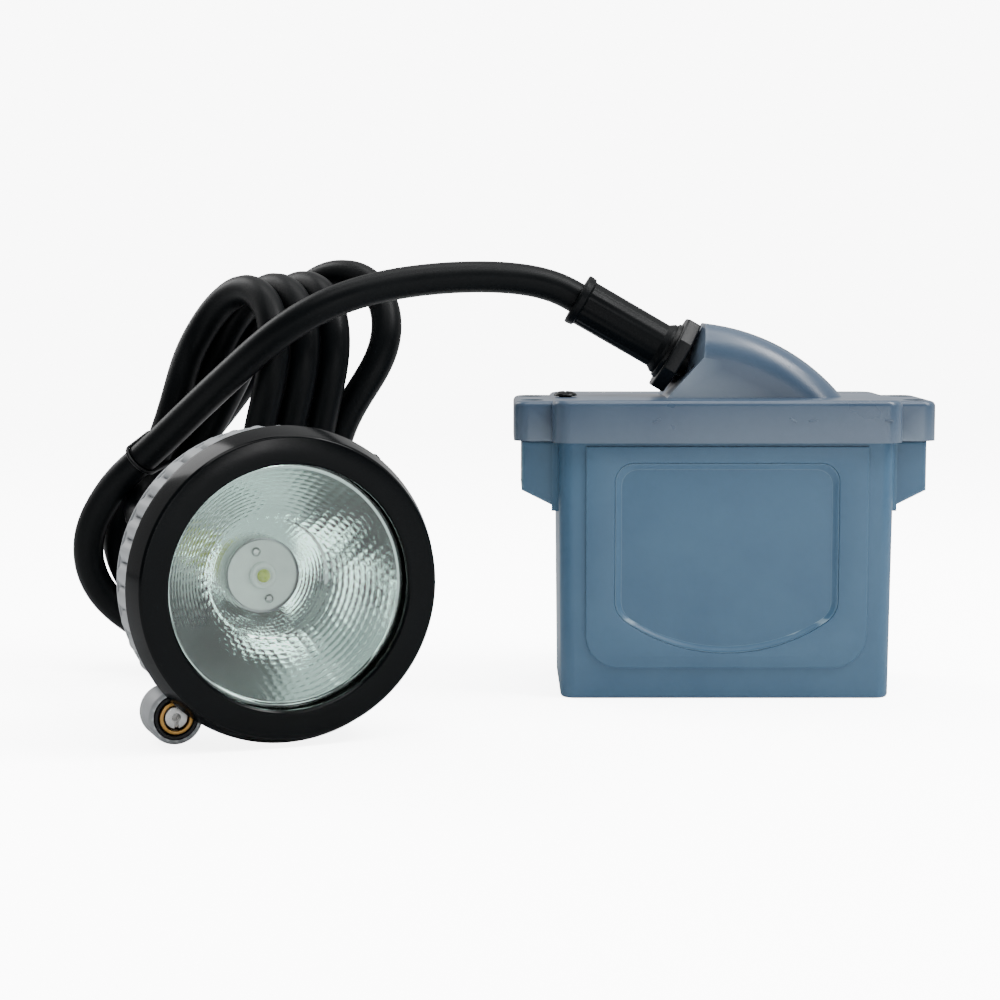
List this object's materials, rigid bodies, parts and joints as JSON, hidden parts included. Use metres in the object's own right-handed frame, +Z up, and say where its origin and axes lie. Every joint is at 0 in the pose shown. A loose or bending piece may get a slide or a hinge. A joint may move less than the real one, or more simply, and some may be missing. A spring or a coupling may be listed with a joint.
{
  "type": "cap lamp",
  "caption": "Miner's cap lamp: belt battery with a cable hood, round lamp head with reflector, LED and switch knob, joined by a rubber cord tied in a hank.",
  "frame": {"origin": "centre of the battery case's bottom face", "axes": "+Z up; the battery front faces -Y; +X to the right when facing the battery front"},
  "size_m": [0.2366, 0.1507, 0.1169],
  "materials": {
    "case_blue": "fine moulded texture",
    "lid_blue_grey": "satin moulded",
    "black_rubber": "matt, slightly dusty",
    "bezel_black": "glossy",
    "housing_grey": "satin moulded",
    "black_plastic": "satin moulded",
    "glass": "polished, flat",
    "reflector": "bright faceted coating",
    "steel": "machined, dulled",
    "brass": "machined",
    "aluminium": "turned",
    "nickel": "thin rolled strip",
    "white_board": "white solder mask",
    "phosphor": "yellow phosphor under silicone",
    "circuit_green": "green solder mask",
    "cell_wrap": "shrink wrap",
    "red_wire": "wire insulation"
  },
  "bodies": {
    "lamp": {"battery_case": "case_blue", "battery_lid": "lid_blue_grey", "belt_loop": "case_blue", "bezel_lock_screw": "steel", "bezel_o_ring": "black_rubber", "bezel_ring": "bezel_black", "board_screw_lower": "steel", "board_screw_upper": "steel", "cell_11": "cell_wrap", "cell_12": "cell_wrap", "cell_13": "cell_wrap", "cell_14": "cell_wrap", "cell_21": "cell_wrap", "cell_22": "cell_wrap", "cell_23": "cell_wrap", "cell_24": "cell_wrap", "cell_holder_bottom": "black_plastic", "cell_holder_top": "black_plastic", "cell_strip_bottom": "nickel", "cell_strip_top": "nickel", "charge_bush": "brass", "charge_insert": "black_plastic", "cord_hank": "black_rubber", "cord_lead": "black_rubber", "cord_tail": "black_rubber", "cord_tie": "black_plastic", "driver_board": "circuit_green", "front_glass": "glass", "gland_nut": "black_plastic", "gland_washer": "black_plastic", "glass_gasket": "black_rubber", "head_gland_nut": "black_plastic", "head_strain_relief": "black_rubber", "heat_sink": "aluminium", "helmet_hook": "steel", "hook_screw_lower": "steel", "hook_screw_upper": "steel", "lead_negative": "black_plastic", "lead_positive": "red_wire", "led_board": "white_board", "led_emitter": "phosphor", "lid_gasket": "black_rubber", "lid_screw_back_left": "steel", "lid_screw_back_right": "steel", "lid_screw_front_left": "steel", "lid_screw_front_right": "steel", "loop_screw_lower": "steel", "loop_screw_upper": "steel", "protection_board": "circuit_green", "rear_housing": "housing_grey", "reflector": "reflector", "strain_relief": "black_rubber", "switch_module": "black_plastic", "switch_seal": "black_rubber", "vent_plug": "black_plastic"},
    "switch": {"switch_knob": "black_plastic", "switch_shaft": "steel"},
    "charging_contact": {"charge_key": "steel"}
  },
  "joints": [
    {"name": "switch_turn", "type": "hinge", "parent": "lamp", "child": "switch", "pos_m": [-0.12039, -0.05713, 0.03835], "axis": [0.6905, 0.2748, 0.6691], "range_deg": [-60, 60]},
    {"name": "charging_key_turn", "type": "hinge", "parent": "lamp", "child": "charging_contact", "pos_m": [-0.1371, -0.08411, 0.00715], "axis": [-0.3697, 0.9291, 0], "range_deg": [0, 180]}
  ]
}
